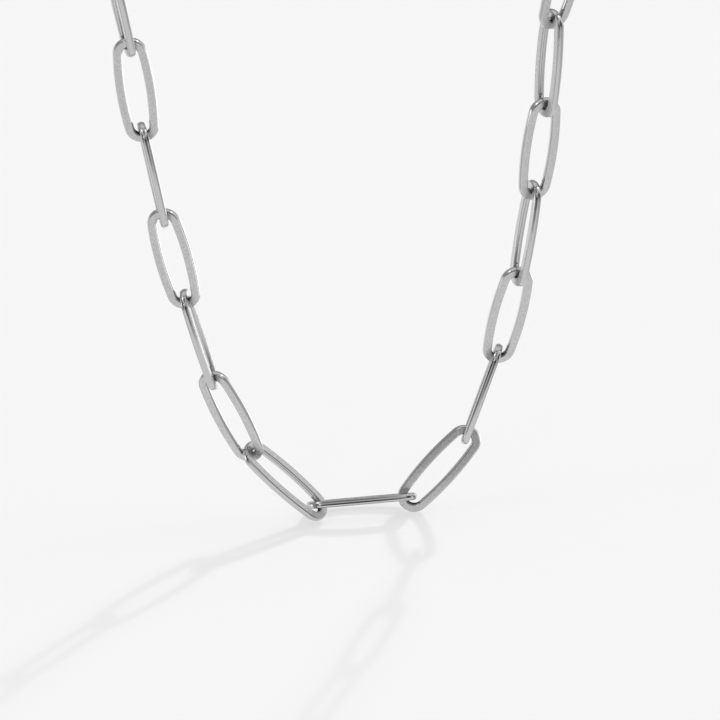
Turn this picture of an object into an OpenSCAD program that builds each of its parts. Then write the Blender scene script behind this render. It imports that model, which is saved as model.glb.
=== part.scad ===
/* [Chain] */
// Number of links, the clasp not counted
link_count = 33; // [31:2:37]
// Inside length of a link, from end to end
link_inside = 13.5; // [13:0.25:14]
// Outer width of a link across the middle of its two bowed bars
link_width = 5.5; // [5.4:0.1:5.7]
// Outer radius of a link's two narrower ends
link_nose = 2.4; // [2.35:0.05:2.45]
// Clearance where one link hangs in the next
link_gap = 0.12; // [0.1:0.01:0.16]

/* [Flattened wire] */
// Width of the wire, seen on a link's flat face
wire_width = 1.35; // [1.25:0.05:1.4]
// Thickness of the wire between the two flat faces
wire_thick = 1.05; // [0.95:0.05:1.1]
// Radius of the rounded sides between the flat faces
wire_side_radius = 0.75; // [0.7:0.05:0.85]

/* [Clasp] */
// Length of the clasp between the two places where the links pull
clasp_inside = 11; // [10:0.5:12]
// Width of the clasp's body
clasp_width = 5.2; // [4.8:0.1:5.6]
// Thickness of the clasp's body
clasp_thick = 1.9; // [1.6:0.1:2.2]
// Length of the clasp's solid body between its hook and its eye
clasp_body = 3.4; // [3:0.1:3.8]
// Radius of the clasp's eye, on the middle line of its wire
clasp_eye_radius = 1.7; // [1.65:0.05:1.8]

/* [Drape round the neck] */
// Climb of the two legs where they leave the front, in degrees
leg_climb = 84; // [78:1:86]
// Share of the back stretch over which each leg leans back to its resting slope
lean_back_share = 0.2; // [0.15:0.05:0.3]
// Slope of the chain on the sides of the neck, in degrees
neck_slope = 32; // [25:1:40]
// Slant at which the links lie on the sides of the neck, in degrees
lay_slant = 47; // [45:1:49]

/* [Hidden] */
// The hanging front, a row for each link from the top of the left leg to the top of the right leg.
// rise: degrees its long axis climbs from left to right. swing: degrees it leans to the back.
// turn: degrees its flat face is turned about the long axis, counted from facing the front.
RISE = 0;
SWING = 1;
TURN = 2;
front_links = [
  [-79.5,  1,   72],
  [-83.3,  2,    1],
  [-79.3, -2,   79],
  [-77.2,  0,    7],
  [-74.2, -2,  -86],
  [-66.4,  1,   18],
  [-45.0, -2,  -66],
  [  1.8,  6, -119],
  [ 50.0,  5,   -9],
  [ 71.4,  6,   82],
  [ 78.4, -3,   10],
  [ 81.7,  4,  -72],
  [ 84.3, -2,   20],
  [ 86.8,  1,  -60],
  [ 77.0, -2,   30]
];

// Curves are true arcs in the finished solids, and this only sets how they are drawn
$fn = 64;

// The ring of places: the front from left to right, half of the back, the clasp, the other half
front_count = len(front_links);
back_links = (link_count - front_count) / 2;
back_count = 2 * back_links + 1;
ring_count = front_count + back_count;
clasp_place = front_count + back_links;
function is_front(place) = place < front_count;

// A link is four arcs that run smoothly into one another: two tight ends and two long bowed bars.
// Radius of the ends on the middle line of the wire, and inside the wire
end_radius = link_nose - wire_width / 2;
end_inside = end_radius - wire_width / 2;
// How far the middle point of an end's arc lies from the middle of a link
end_place = link_inside / 2 - end_inside;
// How much further than the ends the bars bow out, and the one radius that fits this
bow = (link_width - wire_width) / 2 - end_radius;
bar_drop = (end_place ^ 2 - bow ^ 2) / (2 * bow);
bar_radius = bar_drop + bow + end_radius;
bar_sweep = 2 * atan(end_place / bar_drop);

// How far the middle point of an end's arc lies from the middle of the piece at a place
function end_reach(place) = place == clasp_place ? clasp_inside / 2 - end_inside : end_place;

function unit(v) = v / norm(v);
// The sum of a list from its first entry to its last one
function total(list, last) = last < 0 ? [0, 0, 0] : list[last] + total(list, last - 1);
// The part of a direction that is square to an axis
function square_to(v, axis) = unit(v - axis * (v * axis));
// The direction of a flat face that looks outward, turned about the long axis
function face(axis, outward, turn) =
  let (flat = square_to(outward, axis))
  flat * cos(turn) + cross(axis, flat) * sin(turn);

// The front
FRONT = [0, -1, 0];
function front_axis(row) =
  [cos(row[RISE]) * cos(row[SWING]), sin(row[SWING]), sin(row[RISE]) * cos(row[SWING])];

// The back stretch, from the top of the right leg round the neck to the top of the left leg
back_sweep = 180;
function back_share(k) = (k + 0.5) / back_count;
function back_heading(k) = back_sweep * back_share(k);
function back_climb(k) =
  let (share = back_share(k), from_leg = min(share, 1 - share))
  let (ease = max(0, 1 - from_leg / lean_back_share))
  neck_slope * cos(back_heading(k)) + (leg_climb - neck_slope) * ease * sign(0.5 - share);
function back_axis(k) =
  let (climb = back_climb(k), heading = back_heading(k))
  [-sin(heading) * cos(climb), cos(heading) * cos(climb), sin(climb)];
function back_outward(k) = [cos(back_heading(k)), sin(back_heading(k)), 0];
// Every other link lies slanted one way and the next the other way. Beside the clasp, which lies
// flat, they stand more and more upright and flat in turn.
function back_turn(k) =
  let (near_clasp = 1 - abs(2 * back_share(k) - 1))
  (k % 2 == back_links % 2 ? -lay_slant : lay_slant) + lay_slant * near_clasp;

function face_at(place, axis) = is_front(place)
  ? face(axis, FRONT, front_links[place][TURN])
  : let (k = place - front_count) face(axis, back_outward(k), back_turn(k));

// The way one link pulls on the next lies in the planes of both
function pull(axis, next_axis, normal, next_normal) =
  let (way = unit(cross(normal, next_normal)))
  way * (axis + next_axis) < 0 ? -way : way;

// The step from the middle of each place in the ring to the middle of the next
function steps(axes) =
  let (faces = [for (i = [0:ring_count - 1]) face_at(i, axes[i])])
  [for (i = [0:ring_count - 1])
    let (j = (i + 1) % ring_count)
    axes[i] * end_reach(i) + axes[j] * end_reach(j)
    + pull(axes[i], axes[j], faces[i], faces[j]) * (2 * end_inside - link_gap)];

// The back stretch is bent a little at every link, pass after pass, until the ring closes
closing_passes = 40;
function closed(axes, passes) = passes == 0 ? axes :
  let (miss = total(steps(axes), ring_count - 1) / (back_count * link_inside))
  closed([for (i = [0:ring_count - 1]) is_front(i) ? axes[i] : unit(axes[i] - miss)], passes - 1);

free_axes = [for (i = [0:ring_count - 1])
  is_front(i) ? front_axis(front_links[i]) : back_axis(i - front_count)];
ring_axes = closed(free_axes, closing_passes);
ring_faces = [for (i = [0:ring_count - 1]) face_at(i, ring_axes[i])];
ring_steps = steps(ring_axes);
// The clasp's middle lies at the nape of the neck, and the part is measured from it
nape = total(ring_steps, clasp_place - 1);
ring_middles = [for (i = [0:ring_count - 1]) total(ring_steps, i - 1) - nape];

// Links are numbered from the clasp, down the left leg, along the bottom and up the right leg
function place_of(number) = (number - 1 - back_links + ring_count) % ring_count;
function two_digits(number) = str(number < 10 ? "0" : "", number);
function link_name(number) = str("link_", two_digits(number));

// Section of the flattened wire: two rounded sides cut off by two flat faces
module wire_section() {
  side_x = wire_width / 2 - wire_side_radius;
  intersection() {
    translate([side_x, 0]) circle(wire_side_radius);
    translate([-side_x, 0]) circle(wire_side_radius);
    square([2 * wire_width, wire_thick], center = true);
  }
}

// An arc of wire in the link's plane
module wire_arc(radius, from, sweep) {
  rotate_extrude(angle = sweep, start = from)
    translate([radius, 0]) wire_section();
}

// A straight bar of wire along X, from one x to another
module wire_bar(x_from, x_to, y) {
  translate([x_from, y, 0])
    rotate([90, 0, 90])
      linear_extrude(x_to - x_from) wire_section();
}

// One elongated oval link, its long axis along X and its flat faces up and down
module paperclip_link() {
  color("silver")
    for (end = [0, 180])
      rotate([0, 0, end]) {
        translate([end_place, 0, 0]) wire_arc(end_radius, bar_sweep / 2 - 90, 180 - bar_sweep);
        translate([0, -bar_drop, 0]) wire_arc(bar_radius, 90 - bar_sweep / 2, bar_sweep);
      }
}

// A plain closed clasp: a hook, a solid body and an eye in one piece
module clasp_piece() {
  hook_radius = (clasp_width - wire_width) / 2;
  hook_x = -clasp_inside / 2 + hook_radius - wire_width / 2;
  eye_x = clasp_inside / 2 - clasp_eye_radius + wire_width / 2;
  // The body reaches a quarter of the wire into the eye
  body_end = eye_x - clasp_eye_radius + wire_width / 4;
  body_start = body_end - clasp_body;
  color("silver") {
    translate([hook_x, 0, 0]) wire_arc(hook_radius, 90, 180);
    wire_bar(hook_x, body_start, hook_radius);
    wire_bar(hook_x, body_start, -hook_radius);
    translate([eye_x, 0, 0]) wire_arc(clasp_eye_radius, 0, 360);
    translate([0, 0, -clasp_thick / 2])
      linear_extrude(clasp_thick)
        intersection() {
          translate([body_start, -clasp_width / 2]) square([clasp_body, clasp_width]);
          translate([body_start, 0]) circle(clasp_body);
        }
  }
}

// Sets a piece in its place in the ring
module in_place(place) {
  axis = ring_axes[place];
  normal = ring_faces[place];
  side = cross(normal, axis);
  middle = ring_middles[place];
  multmatrix([
    [axis.x, side.x, normal.x, middle.x],
    [axis.y, side.y, normal.y, middle.y],
    [axis.z, side.z, normal.z, middle.z],
    [0, 0, 0, 1]
  ]) children();
}

module link(number) {
  in_place(place_of(number)) paperclip_link();
}

module clasp() {
  in_place(clasp_place) clasp_piece();
}

for (n = [1:link_count])
  link(n);
clasp();
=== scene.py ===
import math

import bmesh
import bpy
import numpy as np
from mathutils import Matrix, Vector


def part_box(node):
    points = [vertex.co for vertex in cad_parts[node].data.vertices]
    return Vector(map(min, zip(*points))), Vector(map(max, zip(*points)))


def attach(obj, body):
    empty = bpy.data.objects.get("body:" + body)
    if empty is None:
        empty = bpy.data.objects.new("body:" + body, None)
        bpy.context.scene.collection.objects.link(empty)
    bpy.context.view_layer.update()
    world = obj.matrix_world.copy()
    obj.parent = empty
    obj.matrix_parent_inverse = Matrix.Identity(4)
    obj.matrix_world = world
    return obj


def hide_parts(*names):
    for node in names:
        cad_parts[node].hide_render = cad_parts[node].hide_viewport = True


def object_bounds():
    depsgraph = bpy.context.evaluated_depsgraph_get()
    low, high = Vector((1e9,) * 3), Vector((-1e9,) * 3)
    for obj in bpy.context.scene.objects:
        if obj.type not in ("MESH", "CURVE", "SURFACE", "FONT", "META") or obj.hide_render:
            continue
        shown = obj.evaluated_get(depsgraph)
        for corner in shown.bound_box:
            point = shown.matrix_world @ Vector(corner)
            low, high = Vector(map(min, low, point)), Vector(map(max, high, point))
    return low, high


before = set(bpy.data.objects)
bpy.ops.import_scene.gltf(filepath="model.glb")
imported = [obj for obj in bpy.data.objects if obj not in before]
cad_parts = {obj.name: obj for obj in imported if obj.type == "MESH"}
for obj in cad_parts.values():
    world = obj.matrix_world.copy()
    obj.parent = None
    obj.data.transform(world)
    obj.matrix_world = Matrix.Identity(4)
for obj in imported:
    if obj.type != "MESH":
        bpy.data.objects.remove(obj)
cad_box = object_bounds()


# Links
# A link is one closed loop of silver-coloured wire, rolled flat, bent round two pins and soldered
# shut. Its faces are lapped to a fine satin grain and its sides keep the polish of the drawn wire.
# Inside the bends, where the next link hangs, the sides are painted dark: painted shade for the
# dark crevices where the links cross. Links hang in one another.
MM = 0.001
link_inside = 13.5 * MM
link_width = 5.5 * MM
link_nose = 2.4 * MM
wire_width = 1.35 * MM
wire_thick = 1.05 * MM
wire_side_radius = 0.75 * MM
corner_round = 0.11 * MM
corner_lap = 0.20 * MM
sharp_corner = math.radians(28)
same_point = 0.001 * MM
crown_steps = 12
corner_steps = 3
end_steps = 32
half_bar_steps = 16

end_radius = link_nose - wire_width / 2
end_place = link_inside / 2 - end_radius + wire_width / 2
bow = (link_width - wire_width) / 2 - end_radius
bar_drop = (end_place ** 2 - bow ** 2) / (2 * bow)
bar_lean = math.atan(end_place / bar_drop)
crown_angle = math.asin(wire_thick / 2 / wire_side_radius)
half_flat = wire_side_radius * math.cos(crown_angle) - wire_side_radius + wire_width / 2


def wire_section(bm, x, y):
    """The flattened wire's outline in the plane across X: two crowned sides and two flat faces."""
    sides = []
    for side in (1, -1):
        first = bm.verts.new((x, y + side * half_flat, -side * wire_thick / 2))
        centre = (x, y + side * (wire_width / 2 - wire_side_radius), 0)
        bmesh.ops.spin(bm, geom=[first], cent=centre, axis=(1, 0, 0), angle=2 * crown_angle,
                       steps=crown_steps, use_duplicate=False)
        bm.verts.ensure_lookup_table()
        sides.append((first, bm.verts[-1]))
    (out_low, out_high), (in_high, in_low) = sides
    # A line of points beside each corner lets the satin of the flat face end there
    share = corner_lap / (2 * half_flat)
    for start, stop in ((out_high, in_high), (in_low, out_low)):
        flat = bm.edges.new((start, stop))
        near = bmesh.utils.edge_split(flat, start, share)[1]
        far_edge = [e for e in near.link_edges if stop in e.verts][0]
        bmesh.utils.edge_split(far_edge, stop, share / (1 - share))
    return list(bm.edges)


def edges_of(geometry):
    return [g for g in geometry if isinstance(g, bmesh.types.BMEdge)]


def carry(bm, section, centre, turn, steps):
    """Carries the wire's section round an arc and returns the section it ends in."""
    spun = bmesh.ops.spin(bm, geom=section, cent=(*centre, 0), axis=(0, 0, 1), angle=turn,
                          steps=steps, use_duplicate=False)
    return edges_of(spun["geom_last"])


def link_loop():
    """One link round the origin, its long axis along X and its flat faces up and down."""
    bm = bmesh.new()
    section = wire_section(bm, 0, -end_radius - bow)
    section = carry(bm, section, (0, bar_drop), bar_lean, half_bar_steps)
    section = carry(bm, section, (end_place, 0), math.pi - 2 * bar_lean, end_steps)
    section = carry(bm, section, (0, -bar_drop), 2 * bar_lean, 2 * half_bar_steps)
    section = carry(bm, section, (-end_place, 0), math.pi - 2 * bar_lean, end_steps)
    carry(bm, section, (0, bar_drop), bar_lean, half_bar_steps)
    bmesh.ops.remove_doubles(bm, verts=bm.verts, dist=same_point)
    return bm


def round_corners(bm, width, steps):
    """Breaks the corners between flat faces and sides, as tumbling does."""
    bmesh.ops.recalc_face_normals(bm, faces=bm.faces)
    corners = [e for e in bm.edges if e.is_manifold and e.calc_face_angle() > sharp_corner]
    bmesh.ops.bevel(bm, geom=corners, offset=width, offset_type="OFFSET", segments=steps,
                    profile=0.5, affect="EDGES", material=-1)


def surface_frame(node):
    """Middle, long axis, facing and points of a CAD node, from the spread of its surface."""
    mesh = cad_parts[node].data
    mesh.calc_loop_triangles()
    points = np.array([v.co for v in mesh.vertices], float)
    corners = points[np.array([t.vertices for t in mesh.loop_triangles])]
    areas = np.linalg.norm(np.cross(corners[:, 1] - corners[:, 0], corners[:, 2] - corners[:, 0]),
                           axis=1)
    middle = (areas[:, None] * corners.mean(1)).sum(0) / areas.sum()
    arms = corners - middle
    sums = arms.sum(1)
    spread = np.einsum("t,tki,tkj->ij", areas, arms, arms)
    spread += np.einsum("t,ti,tj->ij", areas, sums, sums)
    axes = np.linalg.eigh(spread)[1].T
    facing, axis = axes[0], axes[2]
    facing = facing * np.sign(facing[np.abs(facing).argmax()])
    axis = axis * np.sign(axis[np.abs(axis).argmax()])
    return middle, axis, facing, points


def placing(middle, axis, facing):
    """The move that sets a piece made round the origin in its place in the chain."""
    side = np.cross(facing, axis)
    turn = Matrix((axis, side, facing)).transposed().to_4x4()
    return Matrix.Translation(Vector(middle)) @ turn


# Where the painted shade inside the bends lies: how far in it starts, how softly it fades and how it
# wraps round the wire
bend_shade_reach = 1.6 * MM
bend_shade_fade = 1.1 * MM
bend_shade_wrap = 1.4
flat_enough = 0.985
# Millimetres between the grain of one piece and of the next, so that no two look the same
grain_step = 37.0


def bend_shade_at(vert, inside):
    """How much painted shade a point takes inside a bend, where the next piece hangs, 0 to 1."""
    end = math.copysign(1, vert.co.x)
    along = min(max((abs(vert.co.x) - inside / 2 + bend_shade_reach) / bend_shade_fade, 0), 1)
    return along * min(max(-end * vert.normal.x * bend_shade_wrap, 0), 1)


def set_piece(bm, node, number, inside, move, colour):
    """Makes a finished piece of a mesh: notes each place's finish and painted shade, then moves it in
    place.
    """
    name = node + "_metal"
    mesh = bpy.data.meshes.new(name)
    bmesh.ops.recalc_face_normals(bm, faces=bm.faces)
    bm.normal_update()
    bm.to_mesh(mesh)
    grain_place = np.array([v.co for v in bm.verts], np.float32) / MM
    grain_place += np.array([grain_step * number, 0, 0], np.float32)
    lapped = np.array([abs(v.normal.z) > flat_enough for v in bm.verts], np.float32)
    bend_shade = np.array([bend_shade_at(v, inside) for v in bm.verts], np.float32)
    bm.free()
    for title, kind, key, values in (("lapped", "FLOAT", "value", lapped),
                                     ("bend_shade", "FLOAT", "value", bend_shade),
                                     ("grain_place", "FLOAT_VECTOR", "vector", grain_place)):
        mesh.attributes.new(title, kind, "POINT").data.foreach_set(key, values.ravel())
    mesh.transform(move)
    mesh.shade_smooth()
    mesh.materials.append(colour)
    piece = bpy.data.objects.new(name, mesh)
    bpy.context.scene.collection.objects.link(piece)
    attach(piece, "root")
    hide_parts(node)


class Reading:
    """A shader socket. Sums, differences and products on it add Math nodes."""

    def __init__(self, finish, socket):
        self.finish = finish
        self.socket = socket

    def maths(self, operation, first, second):
        made = self.finish.node("Math", {"operation": operation}, {0: first, 1: second})
        return Reading(self.finish, made.outputs[0])

    def __add__(self, other):
        return self.maths("ADD", self, other)

    def __radd__(self, other):
        return self.maths("ADD", other, self)

    def __sub__(self, other):
        return self.maths("SUBTRACT", self, other)

    def __rsub__(self, other):
        return self.maths("SUBTRACT", other, self)

    def __mul__(self, other):
        return self.maths("MULTIPLY", self, other)

    def __rmul__(self, other):
        return self.maths("MULTIPLY", other, self)


class Finish:
    """A node tree that is being filled. node() takes a type, its settings, then its sockets."""

    def __init__(self, tree):
        self.tree = tree
        tree.nodes.clear()

    def node(self, kind, settings=None, sockets=None):
        made = self.tree.nodes.new("ShaderNode" + kind)
        for key, value in (settings or {}).items():
            setattr(made, key, value)
        for key, value in (sockets or {}).items():
            if isinstance(value, Reading):
                self.tree.links.new(value.socket, made.inputs[key])
            elif isinstance(value, bpy.types.NodeSocket):
                self.tree.links.new(value, made.inputs[key])
            else:
                made.inputs[key].default_value = value
        return made

    def reading(self, kind, settings=None, sockets=None, output=0):
        return Reading(self, self.node(kind, settings, sockets).outputs[output])

    def mixed(self, share, first, second):
        """The first colour, giving way to the second as the share grows from 0 to 1."""
        mix = self.node("Mix", {"data_type": "RGBA"}, {0: share, 6: first, 7: second})
        return mix.outputs[2]


satin_dark = (0.47, 0.47, 0.475, 1)
satin_light = (0.77, 0.77, 0.77, 1)
side_polish = (0.60, 0.60, 0.605, 1)
# The colour of the painted shade inside the bends
painted_bend_shade = (0.14, 0.14, 0.145, 1)
polish_roughness = 0.09
satin_roughness = 0.24
satin_relief = 0.006
draw_wave_relief = 0.05


def silver_metal():
    """Satin grain on the lapped faces, polish with a faint draw wave on the sides, and painted shade
    in the bends.
    """
    material = bpy.data.materials.new("silver_metal")
    material.use_nodes = True
    silver_finish = Finish(material.node_tree)
    lapped = silver_finish.reading("Attribute", {"attribute_name": "lapped"}, output=2)
    bend_shade = silver_finish.reading("Attribute", {"attribute_name": "bend_shade"}, output=2)
    place = silver_finish.reading("Attribute", {"attribute_name": "grain_place"}, output=1)
    drawn_out = silver_finish.reading("Mapping", None, {"Vector": place, "Scale": (0.35, 1.0, 1.0)})
    mottle = silver_finish.reading("TexNoise", None, {
        "Vector": place, "Scale": 3.5, "Detail": 3.0, "Roughness": 0.6})
    streaks = silver_finish.reading("TexNoise", None, {
        "Vector": drawn_out, "Scale": 6.0, "Detail": 3.0, "Roughness": 0.65})
    wave = silver_finish.reading("TexNoise", None, {"Vector": place, "Scale": 0.45, "Detail": 1.0})
    uneven = (mottle - 0.5) * 1.6 + (streaks - 0.5) * 1.2
    satin = silver_finish.mixed(0.5 + uneven * lapped, satin_dark, satin_light)
    # The sides take the painted shade inside the bends, made uneven by the draw wave
    polish = silver_finish.mixed(bend_shade * (0.75 + wave * 0.5), side_polish, painted_bend_shade)
    colour = silver_finish.mixed(lapped, polish, satin)
    roughness = polish_roughness + lapped * (satin_roughness + uneven * 0.10)
    height = (lapped * (streaks * 0.7 + mottle * 0.3) * satin_relief
              + (1 - lapped) * wave * draw_wave_relief)
    relief = silver_finish.node("Bump", None, {"Strength": 0.6, "Distance": MM, "Height": height})
    metal = silver_finish.node("BsdfPrincipled", None, {
        "Base Color": colour, "Metallic": 1.0, "Roughness": roughness,
        "Normal": relief.outputs[0]})
    silver_finish.node("OutputMaterial", None, {"Surface": metal.outputs[0]})
    return material


silver = silver_metal()
link_names = sorted(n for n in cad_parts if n.startswith("link_"))
for number, node in enumerate(link_names):
    link_mesh = link_loop()
    round_corners(link_mesh, corner_round, corner_steps)
    middle, axis, facing, _ = surface_frame(node)
    set_piece(link_mesh, node, number, link_inside, placing(middle, axis, facing), silver)


# Clasp
# The clasp at the nape is cast in one piece: a closed hook of the same wire, a rounded solid body
# and a round eye. It is polished all over, and its body is lapped flat front and back.
clasp_inside = 11 * MM
clasp_width = 5.2 * MM
clasp_thick = 1.9 * MM
clasp_body = 3.4 * MM
clasp_eye_radius = 1.7 * MM
clasp_round = 0.35 * MM
clasp_round_steps = 6
body_arc_steps = 24
eye_steps = 48
# How far the ends of the hook reach into the body
sunk = 0.5 * MM

hook_radius = (clasp_width - wire_width) / 2
hook_x = -clasp_inside / 2 + hook_radius - wire_width / 2
eye_x = clasp_inside / 2 - clasp_eye_radius + wire_width / 2
body_start = eye_x - clasp_eye_radius + wire_width / 4 - clasp_body


def points_of(geometry):
    return [g for g in geometry if isinstance(g, bmesh.types.BMVert)]


def straight(bm, section, length):
    """Carries the wire's section straight along X and returns the section it ends in."""
    made = bmesh.ops.extrude_edge_only(bm, edges=section)["geom"]
    points = points_of(made)
    bmesh.ops.translate(bm, verts=points, vec=(length, 0, 0))
    return [e for e in edges_of(made) if e.verts[0] in points and e.verts[1] in points]


def clasp_hook():
    """Two bars that leave the body and one round bend between them, with its ends closed."""
    bm = bmesh.new()
    start = body_start + sunk
    section = wire_section(bm, start, hook_radius)
    bmesh.ops.contextual_create(bm, geom=section)
    section = straight(bm, section, hook_x - start)
    section = carry(bm, section, (hook_x, 0), math.pi, end_steps)
    section = straight(bm, section, start - hook_x)
    bmesh.ops.contextual_create(bm, geom=section)
    return bm


def clasp_eye():
    """The round eye at the other end of the body."""
    bm = bmesh.new()
    section = wire_section(bm, eye_x, -clasp_eye_radius)
    bmesh.ops.spin(bm, geom=section, cent=(eye_x, 0, 0), axis=(0, 0, 1), angle=2 * math.pi,
                   steps=eye_steps, use_merge=True, use_duplicate=False)
    return bm


def clasp_shoulder():
    """The solid body, square at the hook and rounded at the eye."""
    bm = bmesh.new()
    reach = math.asin(clasp_width / 2 / clasp_body)
    first = bm.verts.new((body_start + clasp_body * math.cos(reach), -clasp_width / 2,
                          -clasp_thick / 2))
    bmesh.ops.spin(bm, geom=[first], cent=(body_start, 0, -clasp_thick / 2), axis=(0, 0, 1),
                   angle=2 * reach, steps=body_arc_steps, use_duplicate=False)
    for y in (clasp_width / 2, -clasp_width / 2):
        bm.verts.new((body_start, y, -clasp_thick / 2))
    outline = bm.faces.new(list(bm.verts))
    raised = bmesh.ops.extrude_face_region(bm, geom=[outline])["geom"]
    bmesh.ops.translate(bm, verts=points_of(raised), vec=(0, 0, clasp_thick))
    return bm


def add_mesh(bm, other):
    """Joins a finished part of a casting to the rest of it."""
    held = bpy.data.meshes.new("part")
    other.to_mesh(held)
    other.free()
    bm.from_mesh(held)
    bpy.data.meshes.remove(held)


clasp_mesh = bmesh.new()
for part, rounding, steps in ((clasp_hook(), corner_round, corner_steps),
                              (clasp_eye(), corner_round, corner_steps),
                              (clasp_shoulder(), clasp_round, clasp_round_steps)):
    round_corners(part, rounding, steps)
    add_mesh(clasp_mesh, part)
middle, axis, facing, points = surface_frame("clasp")
reach = points @ axis
half_way = (reach.min() + reach.max()) / 2
# The clasp's metal gathers at its body, so the long axis is turned to point from hook to eye
if middle @ axis < half_way:
    axis = -axis
    half_way = -half_way
middle = middle + axis * (half_way - middle @ axis)
# The clasp takes the same painted shade inside its bends
set_piece(clasp_mesh, "clasp", len(link_names), clasp_inside, placing(middle, axis, facing), silver)


# Floor
# A pale sheet of paper lies under the necklace, and its lowest links all but rest on it. The middle
# of the sheet is what the metal mirrors, and beyond it the metal mirrors the room.
lowest_low, lowest_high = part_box("link_17")
lowest = (lowest_low + lowest_high) / 2
floor_gap = 0.1 * MM
floor_z = cad_box[0][2] - floor_gap
middle_radius = 30 * MM
floor_radius = 800 * MM
floor_steps = 128
paper_grey = (0.36, 0.36, 0.36, 1)
paper_glow = 0.59


def sheet_of_paper(name, bm):
    """A flat piece of the floor, drawn round the origin and laid under the lowest link."""
    bmesh.ops.translate(bm, verts=bm.verts, vec=(lowest.x, lowest.y, floor_z))
    mesh = bpy.data.meshes.new(name)
    bm.to_mesh(mesh)
    bm.free()
    sheet = bpy.data.objects.new(name, mesh)
    bpy.context.scene.collection.objects.link(sheet)
    return sheet


round_sheet = bmesh.new()
bmesh.ops.create_circle(round_sheet, cap_ends=True, segments=floor_steps, radius=middle_radius)
floor_middle = sheet_of_paper("floor_middle", round_sheet)

ring_sheet = bmesh.new()
ends = [ring_sheet.verts.new((radius, 0, 0)) for radius in (middle_radius, floor_radius)]
strip = ring_sheet.edges.new(ends)
bmesh.ops.spin(ring_sheet, geom=[strip], cent=(0, 0, 0), axis=(0, 0, 1), angle=2 * math.pi,
               steps=floor_steps, use_merge=True, use_duplicate=False)
floor_round = sheet_of_paper("floor_round", ring_sheet)
floor_round.visible_glossy = False

paper = bpy.data.materials.new("pale_paper")
paper.use_nodes = True
paper_finish = Finish(paper.node_tree)
sheet_top = paper_finish.node("BsdfPrincipled", None, {
    "Base Color": paper_grey, "Roughness": 0.9, "Specular IOR Level": 0.0,
    "Emission Color": (1, 1, 1, 1), "Emission Strength": paper_glow})
paper_finish.node("OutputMaterial", None, {"Surface": sheet_top.outputs[0]})
for sheet in (floor_middle, floor_round):
    sheet.data.materials.append(paper)


# Light and camera
# The room is light all round, with a bright bench below, a darker band above the horizon, a bright
# ceiling, and windows, small lamps and dark corners that show only in the metal. Two suns in one
# direction, one sharp and one soft, draw the faint shadows on the floor.
sun_way = Vector((-0.648, -1.180, -1.0)).normalized()
for name, strength, spread in (("sharp_sun", 0.70, 1.6), ("soft_sun", 0.80, 10.0)):
    sun = bpy.data.lights.new(name, "SUN")
    sun.energy = strength
    sun.angle = math.radians(spread)
    sun_object = bpy.data.objects.new(name, sun)
    sun_object.rotation_euler = sun_way.to_track_quat("-Z", "Y").to_euler()
    sun_object.visible_glossy = False
    bpy.context.scene.collection.objects.link(sun_object)

world = bpy.data.worlds.new("room")
world.use_nodes = True
bpy.context.scene.world = world
room_finish = Finish(world.node_tree)
way = room_finish.node("TexCoord").outputs["Generated"]
way_parts = room_finish.node("SeparateXYZ", None, {0: way})
side = Reading(room_finish, way_parts.outputs[0])
up = Reading(room_finish, way_parts.outputs[2])
aside = room_finish.reading("Math", {"operation": "ABSOLUTE"}, {0: side})


def ramp(value, low, high):
    """0 below low, 1 above high, smooth between."""
    return room_finish.reading("MapRange", {"interpolation_type": "SMOOTHSTEP"},
                               {"Value": value, "From Min": low, "From Max": high})


def patch(towards, inner, outer):
    """1 within inner degrees of a direction, 0 outside outer degrees."""
    aim = room_finish.node("VectorMath", {"operation": "DOT_PRODUCT"},
                           {0: way, 1: tuple(Vector(towards).normalized())})
    return ramp(Reading(room_finish, aim.outputs["Value"]), math.cos(math.radians(outer)),
                math.cos(math.radians(inner)))


walls = 0.56
bench = (0.31 - 0.22 * ramp(aside, 0.60, 0.88)) * ramp(0 - up, 0.12, 0.32)
dado = 0.20 * ramp(up, 0.05, 0.22) * (1 - ramp(up, 0.50, 0.62))
ceiling = 0.25 * ramp(up, 0.62, 0.80)
room = walls + bench - dado + ceiling
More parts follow.
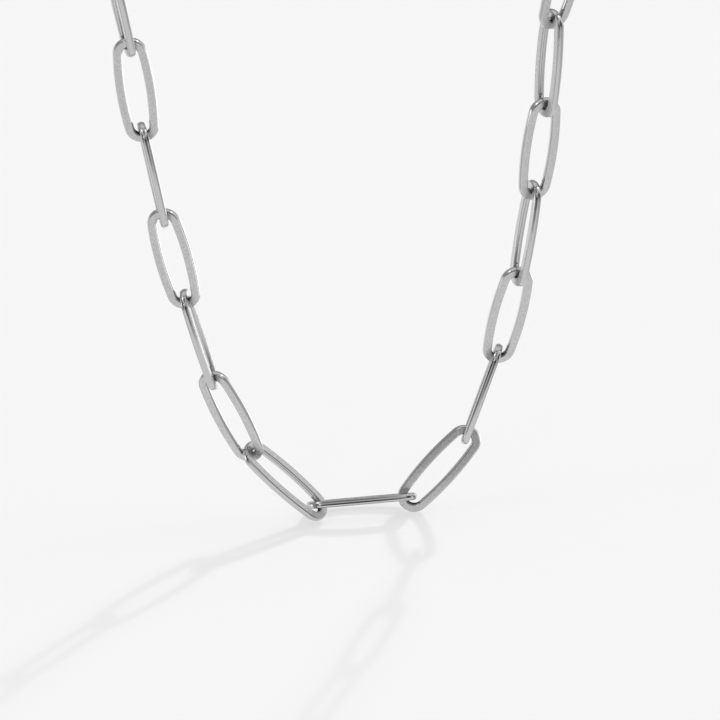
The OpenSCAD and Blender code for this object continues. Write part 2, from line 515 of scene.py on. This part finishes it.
# Each patch has the way to it, the degrees from its middle where it starts and ends to fade, and
# how much brighter or darker than the room it is
windows = (((0.66, 0.70, -0.28), 9, 18, 1.50),
           ((-1.0, -0.10, -0.05), 9, 15, 1.50),
           ((0.86, 0.33, 0.45), 14, 32, 0.50),
           ((-0.70, 0.58, -0.40), 14, 30, 0.25))
small_lamps = (((-0.55, -0.15, 0.82), 4, 8, 3.00),
               ((0.60, 0.20, 0.78), 4, 8, 3.00),
               ((-0.38, -0.80, 0.47), 4, 9, 1.50))
dark_corners = (((-0.75, -0.65, -0.05), 8, 18, -0.36),
                ((-0.70, -0.60, 0.38), 12, 22, -0.22),
                ((0.90, -0.42, -0.12), 10, 20, -0.16),
                ((0.85, -0.40, 0.35), 14, 24, -0.32),
                ((0.10, -0.98, 0.03), 12, 26, -0.40),
                ((0.0, -0.40, 0.92), 12, 24, -0.56))
for towards, inner, outer, change in windows + small_lamps + dark_corners:
    room = room + change * patch(towards, inner, outer)
mirrored = room_finish.node("Background", None, {"Color": (1, 1, 1, 1), "Strength": room})
backdrop_grey = (0.921, 0.921, 0.921, 1)
backdrop = room_finish.node("Background", None, {"Color": backdrop_grey, "Strength": 1.0})
by_camera = room_finish.node("LightPath").outputs["Is Camera Ray"]
both = room_finish.node("MixShader", None, {
    0: by_camera, 1: mirrored.outputs[0], 2: backdrop.outputs[0]})
room_finish.node("OutputWorld", None, {"Surface": both.outputs[0]})

view_down = math.radians(29.0)
view_turn = math.radians(-0.87)
view_distance = 644.2 * MM
look_at = lowest + Vector((-0.24, 0.0, 23.43)) * MM
back = Vector((math.sin(view_turn) * math.cos(view_down),
               -math.cos(view_turn) * math.cos(view_down), math.sin(view_down)))
camera_data = bpy.data.cameras.new("camera")
camera_data.sensor_width = 36.0
camera_data.lens = 225.0
camera_data.clip_start = 0.01
camera_data.clip_end = 20.0
camera = bpy.data.objects.new("camera", camera_data)
camera.location = look_at + back * view_distance
camera.rotation_euler = (-back).to_track_quat("-Z", "Y").to_euler()
bpy.context.scene.collection.objects.link(camera)
bpy.context.scene.camera = camera
bpy.context.scene.view_settings.view_transform = "Standard"
